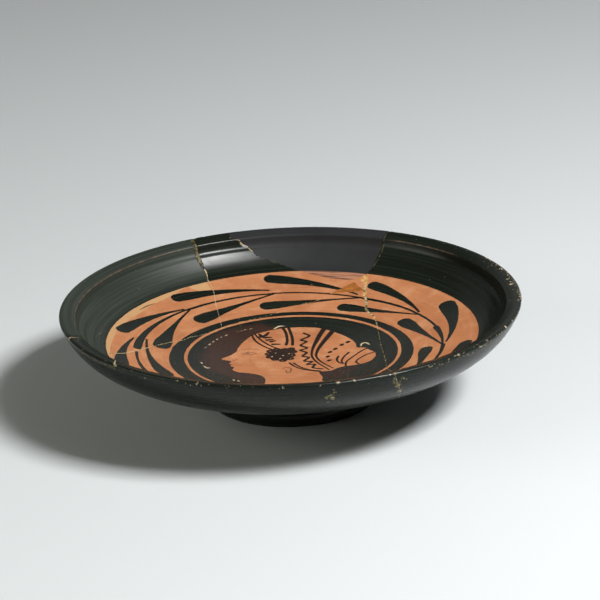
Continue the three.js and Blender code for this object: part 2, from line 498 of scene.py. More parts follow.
# The bonnet, the hair and the lines on them, and the half widths of the strokes
head = {
    "neckBack": [(19.5, -43.5), (14.5, -38.0), (12.2, -32.0), (12.6, -27.0), (11.6, -22.0), (11.4, -18.8)],
    "neckEnd": [(0.0, -52.0), (-14.0, -50.0)],
    "cap": [
        (16.5, -18.4), (19.5, -15.6), (23.0, -14.4), (27.6, -14.6), (31.5, -13.4), (34.4, -10.8),
        (36.0, -6.4), (35.8, -1.8), (33.8, 1.6), (31.6, 5.4), (28.4, 7.0), (27.8, 12.2), (25.6, 17.4),
        (22.4, 22.2), (18.3, 26.8), (14.2, 30.3), (9.4, 32.6), (3.0, 33.7), (-3.0, 33.4), (-8.6, 31.9),
        (-13.6, 29.4),
    ],
    "napeHair": [(11.2, -18.4), (16.2, -18.8), (19.6, -16.0), (23.4, -14.6), (27.8, -15.2), (27.0, -19.6),
                 (23.4, -25.0), (20.0, -29.6), (16.0, -30.4), (13.0, -27.0), (11.6, -22.6)],
    "capBorder": [[(-17.6, 26.8), (-16.1, 21.0), (-13.4, 16.6), (-10.6, 13.4), (-8.8, 11.6)],
                  [(-16.4, 28.0), (-14.4, 23.4), (-11.8, 19.0), (-8.8, 15.0), (-6.6, 13.0)]],
    "tongues": [((-13.6, 26.2), (-14.4, 28.0)), ((-11.6, 26.6), (-10.2, 29.4)), ((-12.0, 24.4), (-9.2, 24.6)),
                ((-10.9, 21.9), (-8.4, 22.6)), ((-9.2, 20.3), (-7.4, 21.0)), ((-8.4, 17.4), (-5.4, 17.4)),
                ((-13.9, 25.0), (-12.4, 26.2))],
    "strips": [[(-3.6, 33.0), (-2.6, 29.0), (-2.2, 25.0), (-2.1, 20.4), (-2.6, 16.4)],
               [(-1.2, 33.2), (-0.5, 29.0), (0.1, 24.6), (0.3, 20.0), (0.2, 16.0)]],
    "wave": [
        (5.4, 27.6), (7.8, 24.4), (4.0, 20.9), (6.4, 18.9), (3.8, 15.2), (6.6, 12.0), (3.6, 9.9),
        (6.2, 6.8), (4.4, 2.9), (7.2, 1.0), (5.0, -3.0), (8.4, -4.4), (6.2, -7.6), (9.6, -8.2),
        (8.6, -12.2), (12.6, -15.0),
    ],
    "stripes": [
        [(14.3, 30.2), (12.4, 24.6), (10.8, 18.6), (9.4, 13.0), (8.6, 7.6), (8.5, 2.0), (10.2, -4.8),
         (13.2, -11.6), (15.8, -17.4)],
        [(17.9, 26.8), (15.0, 20.0), (12.4, 13.2), (10.8, 7.0), (10.4, 1.6), (12.0, -4.6), (15.0, -10.8),
         (17.4, -15.4)],
    ],
    "dots": [(24.5, 14.1), (21.8, 12.0), (18.8, 8.2), (16.4, 5.1), (15.3, 0.1), (15.8, -4.8)],
    "hairBunch": [(-9.6, 9.8), (-6.8, 11.6), (-3.2, 11.4), (-0.4, 11.8), (0.6, 8.6), (-0.2, 4.6), (-1.0, 0.8),
                  (-4.2, -1.2), (-7.6, 0.4), (-10.0, 3.2), (-10.4, 6.6)],
    "curl": 1.15, "curlTurn": 45, "coreShare": 0.84,
    "hairDots": [(-9.0, 3.6), (-4.2, 4.6), (-5.4, 1.2), (-1.6, 6.4), (-7.4, 7.6)],
    "earring": [(-4.2, -11.2), (-2.6, -10.0), (-1.0, -11.4), (-0.8, -14.6), (-1.6, -17.2), (-2.6, -17.4),
                (-3.0, -14.4)],
    "collar": [[(-1.4, -4.6), (1.2, -10.0), (5.2, -14.4), (9.0, -17.0), (12.2, -18.6)],
               [(0.4, -4.8), (3.0, -10.0), (7.2, -14.8), (11.6, -17.4)]],
    "folds": [[(33.2, 4.6), (29.6, 1.4), (25.6, -4.4), (23.2, -9.0), (22.8, -14.6)],
              [(35.4, -1.6), (31.6, -3.6), (28.4, -7.6), (27.4, -11.0), (28.6, -14.0)],
              [(20.0, -0.6), (19.2, -4.6), (20.0, -8.6), (22.0, -11.0)],
              [(24.6, 2.4), (22.2, -2.6), (21.2, -7.0), (21.6, -9.8)]],
    "creamArcs": [[(-38.0, 11.0), (-34.8, 17.8), (-31.2, 23.4), (-27.4, 27.2)],
                  [(-24.6, 29.6), (-21.0, 31.8), (-16.6, 33.4)]],
    "creamStrokes": [[(-7.8, 33.0), (-5.4, 35.2), (-3.0, 35.4)],
                     [(30.0, 7.6), (30.6, 10.4), (32.4, 10.6), (34.0, 8.0)],
                     [(-39.6, -6.6), (-39.0, -8.6)], [(-38.6, -11.0), (-37.0, -13.4), (-35.6, -12.8)],
                     [(-25.6, -28.2), (-25.0, -29.4)], [(-23.6, -29.4), (-23.0, -30.6)]],
    "strings": [[(22.4, -14.6), (22.0, -20.0), (20.8, -27.0), (19.8, -33.4)],
                [(23.8, -14.8), (23.8, -22.0), (23.2, -29.0), (23.4, -36.6)]],
}
strokeHalf = {
    "capBorder": 0.52, "tongues": [0.9, 0.55], "strips": 0.68, "wave": 0.64, "dots": [0.85, 1.0],
    "stripes": [1.25, 1.15, 1.0, 0.75, 0.55, 0.5, 0.46, 0.4, 0.36],
    "collar": [0.52, 0.42], "folds": [0.52, 0.42], "curl": 0.7,
    "features": 0.24, "pupil": 0.75, "earring": 0.4,
    "creamArcs": [[0.3, 0.12], [0.18, 0.12]], "creamStrokes": [0.24, 0.46, 0.2],
    "hairDots": 0.3, "strings": 0.03,
}


def outlineField(points, outline, perSpan):
    return np.clip(insideField(points, smoothPath(outline, perSpan)), -farOff, farOff)


def hairField(points):
    # the hair at the nape, and the bunch over the ear with a ring of curls round its core
    curls = np.array(head["hairBunch"])
    middle = curls.mean(axis=0)
    bunch = outlineField(points, middle + (curls - middle) * head["coreShare"], 4)
    for curl in curls:
        ring = [curl + polar(turn, head["curl"]) for turn in range(0, 361, head["curlTurn"])]
        layStroke(bunch, points, ring, strokeHalf["curl"])
    return np.maximum(outlineField(points, head["napeHair"], 4), bunch)


def drawInk(ink, points):
    for name in ("capBorder", "stripes", "collar", "folds"):
        for path in head[name]:
            layStroke(ink, points, smoothPath(path), strokeHalf[name])
    for path in head["tongues"]:
        layStroke(ink, points, path, strokeHalf["tongues"])
    for path in head["strips"]:
        curve = smoothPath(path, 5)
        for i in range(0, len(curve) - 2, 3):
            layStroke(ink, points, curve[i:i + 3], strokeHalf["strips"])
    layStroke(ink, points, smoothPath(head["wave"], 5), strokeHalf["wave"])
    for x, y in head["dots"]:
        layStroke(ink, points, [(x - 0.2, y - 0.3), (x + 0.2, y + 0.3)], strokeHalf["dots"])


def drawFeatures(wash, points, brow, base, mouth):
    # on the same thirds as the profile
    front = face["front"]
    eyeX, eyeY = front + 6.0, brow - 4.2
    features = [
        [(front + 2.6, brow - 0.6), (front + 6.4, brow + 1.0), (front + 10.6, brow - 0.2)],
        [(eyeX - 2.6, eyeY - 0.6), (eyeX, eyeY + 1.5), (eyeX + 3.6, eyeY - 0.2)],
        [(eyeX - 2.4, eyeY - 0.8), (eyeX + 0.4, eyeY - 1.5), (eyeX + 3.2, eyeY - 0.5)],
        [(front - 1.4, base + 0.9), (front + 0.2, base + 1.3), (front + 0.9, base + 2.9)],
        [(front - 1.0, mouth), (front + 1.2, mouth - 0.1), (front + 3.0, mouth - 0.6)],
    ]
    for path in features:
        layStroke(wash, points, smoothPath(path), strokeHalf["features"])
    layStroke(wash, points, [(eyeX - 0.5, eyeY + 0.2), (eyeX - 0.4, eyeY + 0.1)], strokeHalf["pupil"])
    layStroke(wash, points, smoothPath(head["earring"]), strokeHalf["earring"])


def drawCream(cream, points):
    # added colour that has mostly flaked, so the arcs are broken lines
    for number, path in enumerate(head["creamArcs"]):
        curve = smoothPath(path, 8)
        for i in range(0, len(curve) - 3, 4):
            layStroke(cream, points, curve[i:i + 3 + number], strokeHalf["creamArcs"][number])
    for x, y in head["hairDots"]:
        layStroke(cream, points, [(x, y), (x + 0.3, y + 0.2)], strokeHalf["hairDots"])
    for name in ("creamStrokes", "strings"):
        for path in head[name]:
            layStroke(cream, points, smoothPath(path), strokeHalf[name])


def headFields(points):
    made = {name: np.full(len(points), -farOff) for name in ("clay", "ink", "wash", "cream", "hair")}
    # nothing of the head lies past the thin ring
    near = np.flatnonzero(np.hypot(points[:, 0], points[:, 1] + 2) < circles["thinRing"][1] + 2)
    if not len(near):
        return made
    close = points[near]
    drawn = {name: np.full(len(near), -farOff) for name in made}
    profileLine, brow, base, mouth = faceProfile()
    outline = profileLine[::-1] + head["cap"][::-1] + head["neckBack"][::-1] + head["neckEnd"]
    drawn["clay"] = outlineField(close, outline, 5)
    drawn["hair"] = hairField(close)
    drawInk(drawn["ink"], close)
    drawFeatures(drawn["wash"], close, brow, base, mouth)
    drawCream(drawn["cream"], close)
    for name in made:
        made[name][near] = drawn[name]
    return made


# Breaks between the sherds, as lines in plan: the side each shows on, its points, half widths along it,
# and how pale the glue in it is
cracks = {
    "backLeft": (
        "both", [(-40.6, 96.6), (-42.0, 92.4), (-43.5, 87.3), (-42.1, 83.0), (-40.5, 80.1), (-38.8, 78.3)],
        [0.3, 0.5, 0.75, 0.6, 0.7, 0.5], 0.3),
    "backLeftBand": (
        "both", [(-38.8, 78.3), (-37.5, 76.2), (-37.1, 73.0), (-35.3, 67.9), (-34.4, 63.2), (-33.5, 53.3),
                 (-32.2, 44.7), (-30.8, 32.7)],
        [0.3, 0.2, 0.16, 0.2, 0.12, 0.1, 0.1], 0.66),
    "across": (
        "both", [(-77.5, -12.3), (-72.1, -8.8), (-67.2, -2.2), (-61.8, 4.1), (-55.5, 11.2), (-48.2, 16.9),
                 (-44.8, 21.0), (-38.3, 25.6), (-33.9, 30.3), (-30.8, 32.7), (-22.8, 39.2), (-13.0, 44.2),
                 (-7.1, 47.2), (-0.3, 51.2), (4.3, 54.2), (11.1, 56.3), (15.7, 58.9), (18.9, 61.6)],
        [0.32, 0.24, 0.18, 0.2, 0.12, 0.15, 0.08, 0.1, 0.12, 0.1], 0.62),
    "leftRim": ("both", [(-98.6, -34.0), (-94.8, -33.3), (-89.7, -31.2)], [0.3, 0.25, 0.2], 0.7),
    "leftWall": ("inside", [(-89.7, -31.2), (-84.0, -20.0), (-77.5, -12.3)], [0.1, 0.08, 0.12], 0.3),
    "frontLeft": (
        "inside", [(-77.5, -12.3), (-76.8, -20.0), (-75.3, -30.0), (-74.0, -45.0), (-73.2, -60.0),
                   (-73.4, -68.4)],
        [0.25, 0.2, 0.3], 0.6),
    "right": (
        "both", [(34.9, 73.7), (34.4, 66.1), (33.6, 57.0), (34.2, 49.6), (33.8, 43.0), (36.9, 36.0),
                 (37.9, 27.3), (38.4, 16.7), (38.8, 5.3), (39.9, -11.5), (40.2, -26.2), (42.0, -33.0),
                 (42.6, -52.0), (43.4, -74.8), (44.3, -81.0), (43.3, -85.3), (42.4, -88.5), (41.8, -91.0),
                 (41.9, -94.0)],
        [0.42, 0.5, 0.5, 0.45, 0.5, 0.3, 0.12, 0.14, 0.12, 0.14, 0.14, 0.16, 0.18, 0.1, 0.16, 0.1, 0.16,
         0.24], 0.5),
    "front": (
        "inside", [(30.0, -48.0), (20.0, -78.0), (14.6, -91.6), (18.6, -98.6)], [0.2, 0.2, 0.16], 0.4),
    "frontOutside": ("outside", [(15.0, -93.6), (15.8, -95.6), (17.2, -97.4)], [0.14, 0.1, 0.08], 0.3),
    "outsideLeft": (
        "outside", [(-95.0, -29.6), (-90.6, -40.9), (-85.6, -51.0), (-80.8, -58.4), (-76.3, -64.4),
                    (-73.0, -67.8)],
        [0.06, 0.12, 0.08, 0.12, 0.16], 0.3),
    "fillingLeft": (
        "inside", [(-26.6, 91.4), (-22.1, 90.4), (-18.9, 90.5), (-17.5, 89.3), (-14.5, 88.1), (-6.4, 86.1),
                   (0.4, 83.3)],
        [0.14, 0.22, 0.26, 0.14, 0.12, 0.08], 0.62),
    "fillingRight": (
        "inside", [(47.6, 89.0), (45.2, 85.6), (44.0, 82.8), (42.8, 80.4), (40.4, 77.8), (35.2, 73.6)],
        [0.22, 0.14, 0.26, 0.14, 0.18], 0.3),
}
crackForm = {"depth": 0.22, "shoulder": 0.35}  # how deep a break is sunk, and how wide its edge is rounded

# Fine scratches on the wall at the left, and the rusty streak beside the tan paint: points and half widths
scratches = [
    ([(-85.3, -1.3), (-83.6, 6.6), (-80.6, 12.4)], [0.0, 0.03, 0.0]),
    ([(-82.4, -4.0), (-80.2, 6.2), (-77.9, 16.0)], [0.0, 0.02, 0.0]),
    ([(-86.0, 5.4), (-83.8, 6.5), (-81.4, 7.2)], [0.0, 0.01, 0.0]),
]
rustStreak = ([(-67.6, 39.6), (-64.2, 44.6), (-60.8, 48.4)], [0.15, 0.5, 0.15])

# Tan paint laid over the worn edge of the band at the left: where it ends inside the band, and the stretch
# of the band's edge that it follows, in degrees and this far past it
overpaint = {
    "inner": [
        (-34.4, 62.6), (-37.8, 63.4), (-40.8, 63.7), (-44.8, 64.9), (-46.4, 65.8), (-51.6, 59.6),
        (-56.3, 53.3), (-61.7, 46.9), (-67.0, 37.2), (-71.5, 28.8), (-75.6, 18.4), (-77.6, 6.1),
        (-78.4, -5.0), (-78.2, -17.0),
    ],
    "from": 192, "to": 118, "past": 1.2, "steps": 40,
}

# Chips on the rim: angle, distance in from the edge (below 0 is down the outside), radius, depth
rimChips = [
    (-6.4, -1.4, 2.3, 3.8), (-4.0, 0.4, 0.7, 0.4), (27.8, 0.3, 0.8, 0.3), (21.5, 1.2, 0.6, 0.2),
    (17.2, 1.6, 0.7, 0.2), (12.6, 2.0, 0.6, 0.2), (10.4, 3.0, 0.8, 0.2), (8.0, 2.6, 0.5, 0.2),
    (6.2, 3.0, 1.0, 0.25), (4.0, 1.6, 0.5, 0.2), (-2.2, 0.5, 0.8, 0.2), (-25.2, 0.2, 0.7, 0.25),
    (-35.4, 0.3, 0.55, 0.15), (-46.4, 0.3, 0.6, 0.2), (-65.3, 0.1, 0.7, 0.3), (-68.8, 0.2, 0.4, 0.15),
    (-75.4, 0.0, 0.45, 0.2), (-79.2, 0.0, 0.55, 0.3), (-92.2, -0.6, 0.5, 0.15), (-113.0, 0.3, 0.6, 0.2),
    (-118.2, 0.3, 0.5, 0.15), (-137.0, 0.0, 0.7, 0.3), (-151.5, 0.2, 0.5, 0.2), (-160.2, 0.3, 0.9, 0.3),
    (112.8, 0.3, 0.9, 0.3),
]
chipForm = {
    "bowl": 0.7,  # below 1 the bottom of a chip is flatter than a cone
    "grain": 0.9, "crumble": 0.6, "seed": 4.0,  # the broken clay in it
    "lean": 1.5,  # how far a chip on the rim's edge is sunk inwards as well as down
    "lipSamples": 2,  # from the widest place of the rim up onto its lip
}

# Stretches where the rim is worn to specks: from and to in degrees, how far in from the edge, how much
wornStretches = [
    (-8, 32, 5.5, 1.05), (32, 60, 2.5, 0.5), (-60, -8, 1.6, 0.8), (-168, -60, 1.2, 0.45),
    (60, 192, 1.2, 0.25),
]

# Stretches where the ridge under the rim is rubbed down to the red of the clay: from, to, how much
ridgeWear = [(117, 192, 0.6), (34, 61, 0.8)]

# Degrees over which both fade in, and samples past the rim that the specks run down the outside
wearForm = {"wornFade": 4, "rubbedFade": 5, "samplesOver": 12}

# Patches of old glue and lost gloss: x, y, radius. They show on the side named.
gluePatches = {
    "outside": [(42.9, -86.8, 1.9), (45.0, -85.4, 1.5), (41.2, -88.8, 1.4), (43.6, -83.6, 1.3),
                (15.6, -95.2, 1.7), (16.9, -96.6, 1.2), (14.4, -93.6, 1.2), (13.6, -95.6, 1.0)],
    "inside": [(-43.0, 86.2, 0.9), (-41.6, 81.8, 1.0), (-39.8, 79.4, 0.9), (-37.9, 76.8, 0.9),
               (40.6, 79.0, 0.8), (43.0, 83.4, 0.7), (-44.2, 21.4, 0.5)],
}

# Pale plaster pressed into the break beside the floor's filling
plasterPatches = [
    [(32.4, 68.8), (33.4, 71.6), (35.0, 74.0), (35.6, 72.0), (35.2, 66.0), (34.9, 63.4), (33.6, 65.2)],
    [(32.5, 58.8), (34.4, 59.4), (34.7, 56.4), (33.0, 55.8)],
    [(36.2, 34.2), (37.0, 36.6), (38.0, 34.6), (37.2, 33.2)],
]

# The part of the tondo that fired brown, not black, and the sherd that lost its shine and has a painted sheen
misfired = [
    (-14.0, 38.0), (-22.0, 35.6), (-29.6, 30.0), (-35.6, 21.0), (-38.6, 9.0), (-38.6, -4.0), (-35.0, -15.0),
    (-28.6, -24.0), (-20.0, -31.0), (-13.0, -38.0), (-4.0, -30.0), (-4.0, 34.0),
]
dullSherd = [
    (-30.8, 32.7), (-33.5, 53.3), (-34.4, 63.2), (-37.3, 75.0), (-40.5, 80.1), (-43.5, 87.3), (-41.2, 92.0),
    (-43.0, 104.0), (-104.0, 80.0), (-110.0, -30.0), (-96.0, -30.0), (-90.8, -28.4), (-77.5, -12.3),
    (-61.8, 4.1), (-48.2, 16.9),
]


def crackField(points, side):
    field = np.full(len(points), -farOff)
    pale = np.zeros(len(points))
    for shows, path, halfWidths, paleness in cracks.values():
        if shows not in ("both", side):
            continue
        own = np.full(len(points), -farOff)
        layStroke(own, points, smoothPath(path, 3), halfWidths)
        pale = np.where(own > field, paleness, pale)
        field = np.maximum(field, own)
    return field, pale


def paintedFields(points):
    # everything that is drawn on the inside of the dish
    (bandX, bandY), bandRadius = circles["bandOuter"]
    (innerX, innerY), innerRadius = circles["bandInner"]
    (thinX, thinY), thinRadius = circles["thinRing"]
    x, y = points[:, 0], points[:, 1]
    outerGap = bandRadius - np.hypot(x - bandX, y - bandY)
    innerGap = np.hypot(x - innerX, y - innerY) - innerRadius
    thinGap = circles["thinRingHalf"] - np.abs(np.hypot(x - thinX, y - thinY) - thinRadius)
    tondo = thinRadius - circles["thinRingHalf"] - np.hypot(x - thinX, y - thinY)
    made = headFields(points)
    reserved = np.maximum(np.minimum(outerGap, innerGap), thinGap)
    reserved = np.maximum(reserved, np.minimum(made.pop("clay"), tondo))
    made["gloss"] = np.maximum(-reserved, wreathField(points))
    for path, halfWidths in scratches:
        layStroke(made["cream"], points, smoothPath(path), halfWidths)
    path, halfWidths = rustStreak
    layStroke(made["wash"], points, smoothPath(path), halfWidths)
    stretch = np.linspace(overpaint["from"], overpaint["to"], overpaint["steps"])
    bandEdge = [polar(degrees, bandRadius + overpaint["past"]) for degrees in stretch]
    shapes = {
        "overpaint": [np.vstack([smoothPath(overpaint["inner"], 4), bandEdge])],
        "plaster": plasterPatches,
        "misfire": [smoothPath(misfired, 3)],
        "dull": [dullSherd],
    }
    for name, outlines in shapes.items():
        made[name] = np.full(len(points), -farOff)
        for outline in outlines:
            outline = np.array(outline)
            low, high = outline.min(0) - farOff, outline.max(0) + farOff
            near = np.flatnonzero(np.all((points > low) & (points < high), axis=1))
            made[name][near] = np.maximum(made[name][near], insideField(points[near], outline))
    return {name: np.clip(values, -farOff, farOff) for name, values in made.items()}


def meshPoints(mesh):
    flat = np.empty(len(mesh.vertices) * 3)
    mesh.vertices.foreach_get("co", flat)
    return flat.reshape(-1, 3) / mm


def onProfile(points):
    # the nearest place on the turned profile to each point: sample number, place, normal and the gap to it
    here = np.stack([np.hypot(points[:, 0], points[:, 1]), points[:, 2]], axis=1)
    nearest = np.empty(len(points), int)
    batch = 20000
    for start in range(0, len(points), batch):
        part = here[start:start + batch]
        gaps = (part[:, :1] - profile[None, :, 0]) ** 2 + (part[:, 1:] - profile[None, :, 1]) ** 2
        nearest[start:start + batch] = np.argmin(gaps, axis=1)
    nearest = np.clip(nearest, 1, len(profile) - 2)
    along = np.sum((here - profile[nearest]) * profileTangents[nearest], axis=1) / form["sampleStep"]
    position = np.clip(nearest + along, 0, len(profile) - 1)
    low = np.minimum(position.astype(int), len(profile) - 2)
    share = (position - low)[:, None]
    place = profile[low] * (1 - share) + profile[low + 1] * share
    normal = profileNormals[low] * (1 - share) + profileNormals[low + 1] * share
    normal /= np.linalg.norm(normal, axis=1)[:, None]
    return position, place, normal, np.linalg.norm(here - place, axis=1)


# How long a mesh edge may be at each kind of drawn edge, and how much it may grow per millimetre away from it
fineness = {
    "paintEdge": 1.3, "fineLine": 0.62, "crackEdge": 0.66, "chipEdge": 0.55, "outsideCrackEdge": 1.2,
    "grading": 1.6, "rounds": 8,
    "mapStep": 0.5, "insideMargin": 1.5,  # how far under the inside's surface its map still holds
    "fillingEdge": 2.5, "fillingRounds": 2,
}


def chipCentres():
    # the centre of each chip on the turned form, its radius and its depth
    made = []
    for degrees, inset, radius, depth in rimChips:
        sample = rimSample - int(inset / form["sampleStep"]) - chipForm["lipSamples"]
        reach, z = profile[min(sample, len(profile) - 1)]
        made.append((np.append(polar(degrees, reach), z), radius, depth))
    return made


def allowedEdge(kind, gap):
    return np.maximum(fineness[kind], fineness["grading"] * np.maximum(gap, 0))


def lengthMaps():
    # how long a mesh edge may be, on a grid seen from above: inside the dish and outside it
    count = int(2 * form["rimRadius"] / fineness["mapStep"]) + 1
    line = np.linspace(-form["rimRadius"], form["rimRadius"], count)
    plan = np.stack(np.meshgrid(line, line, indexing="ij"), axis=-1).reshape(-1, 2)
    fields = paintedFields(plan)
    fine = [fields["ink"], fields["wash"], fields["cream"], wreathField(plan, thinOnly=True)]
    edges = [np.abs(fields[name]) for name in ("gloss", "hair", "overpaint", "plaster")]
    chips = []
    for centre, radius, _ in chipCentres():
        chips.append(allowedEdge("chipEdge", np.linalg.norm(plan - centre[:2], axis=1) - radius))
    inside = np.minimum.reduce(chips + [
        allowedEdge("paintEdge", np.minimum.reduce(edges)),
        allowedEdge("fineLine", -np.maximum.reduce(fine)),
        allowedEdge("crackEdge", -crackField(plan, "inside")[0]),
    ])
    # nothing is known of places further off than the fields reach
    inside[inside > farOff * 0.95] = unreached
    outsideCracks = allowedEdge("outsideCrackEdge", -crackField(plan, "outside")[0])
    outside = np.minimum.reduce(chips + [outsideCracks])
    return inside.reshape(count, count), outside.reshape(count, count)


def wantedLength(points):
    insideMap, outsideMap = edgeLengths
    places = np.rint((points[:, :2] + form["rimRadius"]) / fineness["mapStep"]).astype(int)
    column, row = np.clip(places, 0, len(insideMap) - 1).T
    top = np.interp(np.hypot(points[:, 0], points[:, 1]), profile[:rimSample, 0], profile[:rimSample, 1])
    inside = points[:, 2] > top - fineness["insideMargin"]
    return np.where(inside, insideMap[column, row], outsideMap[column, row])


def refine(piece, lengthAt, rounds):
    # splits the edges that are too long for what is drawn there
    edit(piece)
    bpy.ops.mesh.select_all(action="SELECT")
    bpy.ops.mesh.quads_convert_to_tris(quad_method="BEAUTY", ngon_method="BEAUTY")
    bpy.ops.mesh.select_mode(type="EDGE")
    for _ in range(rounds):
        bpy.ops.object.mode_set(mode="OBJECT")
        data = piece.data
        points = meshPoints(data)
        ends = np.empty(len(data.edges) * 2, int)
        data.edges.foreach_get("vertices", ends)
        ends = ends.reshape(-1, 2)
        length = np.linalg.norm(points[ends[:, 0]] - points[ends[:, 1]], axis=1)
        picked = length > lengthAt(points[ends].mean(axis=1))
        if not picked.any():
            break
        data.vertices.foreach_set("select", np.zeros(len(data.vertices), bool))
        data.polygons.foreach_set("select", np.zeros(len(data.polygons), bool))
        data.edges.foreach_set("select", picked)
        bpy.ops.object.mode_set(mode="EDIT")
        bpy.ops.mesh.subdivide(number_cuts=1)
        bpy.ops.mesh.select_all(action="SELECT")
        bpy.ops.mesh.quads_convert_to_tris(quad_method="BEAUTY", ngon_method="BEAUTY")
    deselectAll()


def writeField(data, name, values):
    layer = data.attributes.new(name=name, type="FLOAT", domain="POINT")
    layer.data.foreach_set("value", np.asarray(values, np.float32))


def crumble(points, size, seed):
    return np.array([noise.noise(Vector((x / size, y / size, z / size + seed))) for x, y, z in points])


def storePaint(data, plan, inside):
    for name, values in paintedFields(plan).items():
        writeField(data, name, np.where(inside, values, farOff if name == "gloss" else -farOff))


def storeCracks(data, plan, inside):
    crack, pale = [np.where(inside, top, under) for top, under in
                   zip(crackField(plan, "inside"), crackField(plan, "outside"))]
    writeField(data, "crack", crack)
    writeField(data, "crackPale", pale)
    return crack


def stretchShare(angle, start, end, fade):
    # 1 along a stretch of the rim, fading in at both of its ends
    share = np.clip(np.minimum((angle - start) % 360, (end - angle) % 360) / fade, 0, 1)
    return share * (((angle - start) % 360) < (end - start))


def storeWear(data, points, radius, position):
    angle = np.degrees(np.arctan2(points[:, 1], points[:, 0]))
    nearRim = position < rimSample + wearForm["samplesOver"]
    worn = np.zeros(len(points))
    for start, end, reach, amount in wornStretches:
        along = stretchShare(angle, start, end, wearForm["wornFade"])
        inwards = np.clip(1 - (form["rimRadius"] - radius) / reach, 0, 1)
        worn = np.maximum(worn, amount * along * inwards * nearRim)
    writeField(data, "worn", worn)
    rubbed = np.zeros(len(points))
    for start, end, amount in ridgeWear:
        along = stretchShare(angle, start, end, wearForm["rubbedFade"])
        rubbed = np.maximum(rubbed, amount * along * (position < rimSample))
    writeField(data, "rubbed", rubbed)


def storeGlue(data, plan, inside):
    glue = np.full(len(plan), -farOff)
    for side, patches in gluePatches.items():
        here = inside if side == "inside" else ~inside
        for x, y, size in patches:
            inward = size - np.hypot(plan[:, 0] - x, plan[:, 1] - y)
            glue = np.where(here, np.maximum(glue, inward), glue)
    writeField(data, "glue", glue)


def sinkChips(data, points):
    # how deep each vertex sinks into a chip
    chip = np.full(len(points), -farOff)
    sunk = np.zeros(len(points))
    for centre, size, depth in chipCentres():
        inward = size - np.linalg.norm(points - centre, axis=1)
        chip = np.maximum(chip, inward)
        sunk = np.maximum(sunk, depth * np.clip(inward / size, 0, 1) ** chipForm["bowl"])
    writeField(data, "chip", chip)
    near = np.flatnonzero(chip > -1)
    sunk[near] *= 1 + chipForm["crumble"] * crumble(points[near], chipForm["grain"], chipForm["seed"])
    return sunk


# Millimetres off the turned form from which a vertex counts as on a broken face, the depth at which a sunk
# place has its own normal, and how far a face may turn from the form's normal, as a cosine
surface = {"offForm": 0.12, "ownNormal": 0.03, "turnedAway": 0.6}


def finishSurface(piece, drawn):
    # sets each vertex on the turned form, sinks breaks and chips, and stores what is painted
    data = piece.data
    points = meshPoints(data)
    position, place, normal, gap = onProfile(points)
    radius = np.hypot(points[:, 0], points[:, 1])
    around = points[:, :2] / np.maximum(radius, 1e-6)[:, None]
    onForm = gap < surface["offForm"]
    direction = np.column_stack([around * normal[:, :1], normal[:, 1]])
    points[onForm] = np.column_stack([around * place[:, :1], place[:, 1]])[onForm]
    sunk = np.zeros(len(points))
    if drawn:
        plan, inside = points[:, :2], position < rimSample
        storePaint(data, plan, inside)
        crack = storeCracks(data, plan, inside)
        storeWear(data, points, radius, position)
        storeGlue(data, plan, inside)
        breakDepth = crackForm["depth"] * np.clip(1 + crack / crackForm["shoulder"], 0, 1)
        sunk = np.maximum(sinkChips(data, points), breakDepth)
    sunk[~onForm] = 0
    # on the rim's edge a chip goes inwards as well as down
    edgeShare = np.clip((radius - form["rimRadius"]) / form["lipRound"] / 2 + 1, 0, 1)[:, None]
    sinking = direction + np.column_stack([around, np.zeros(len(points))]) * edgeShare * chipForm["lean"]
    sinking /= np.linalg.norm(sinking, axis=1)[:, None]
    points -= sinking * sunk[:, None]
    data.vertices.foreach_set("co", (points * mm).ravel())
    data.update()
    setNormals(data, direction, sunk, onForm)


def setNormals(data, direction, sunk, onForm):
    # the turned form's own normals, except in breaks, in chips and on broken faces
    measured = np.empty(len(data.vertices) * 3)
    data.vertex_normals.foreach_get("vector", measured)
    share = np.clip(sunk / surface["ownNormal"], 0, 1)[:, None]
    blended = direction * (1 - share) + measured.reshape(-1, 3) * share
    corners = np.empty(len(data.loops), int)
    data.loops.foreach_get("vertex_index", corners)
    faceNormals = np.empty(len(data.polygons) * 3)
    data.polygon_normals.foreach_get("vector", faceNormals)
    sizes = np.empty(len(data.polygons), int)
    data.polygons.foreach_get("loop_total", sizes)
    perCorner = np.repeat(faceNormals.reshape(-1, 3), sizes, axis=0)
    chosen = blended[corners]
    broken = (np.sum(perCorner * chosen, axis=1) < surface["turnedAway"]) | ~onForm[corners]
    chosen[broken] = perCorner[broken]
    data.shade_smooth()
    data.normals_split_custom_set(chosen.tolist())


edgeLengths = lengthMaps()
print("drawing measured")
refine(plateBody, wantedLength, fineness["rounds"])
print("plate refined to", len(plateBody.data.polygons), "faces")
finishSurface(plateBody, True)
for piece in (rimFilling, floorFilling):
    refine(piece, lambda points: np.full(len(points), fineness["fillingEdge"]), fineness["fillingRounds"])
    finishSurface(piece, False)
print("surfaces finished")

# Finishes


def colour(hexValue):
    parts = [int(hexValue[i:i + 2], 16) / 255 for i in (0, 2, 4)]
    return tuple(c / 12.92 if c <= 0.04045 else ((c + 0.055) / 1.055) ** 2.4 for c in parts) + (1.0,)


def addNode(tree, kind, settings=None, inputs=None):
    node = tree.nodes.new(kind)
    for name, value in (settings or {}).items():
        setattr(node, name, value)
    for name, value in (inputs or {}).items():
        if isinstance(value, bpy.types.NodeSocket):
            tree.links.new(value, node.inputs[name])
        else:
            node.inputs[name].default_value = value
    return node


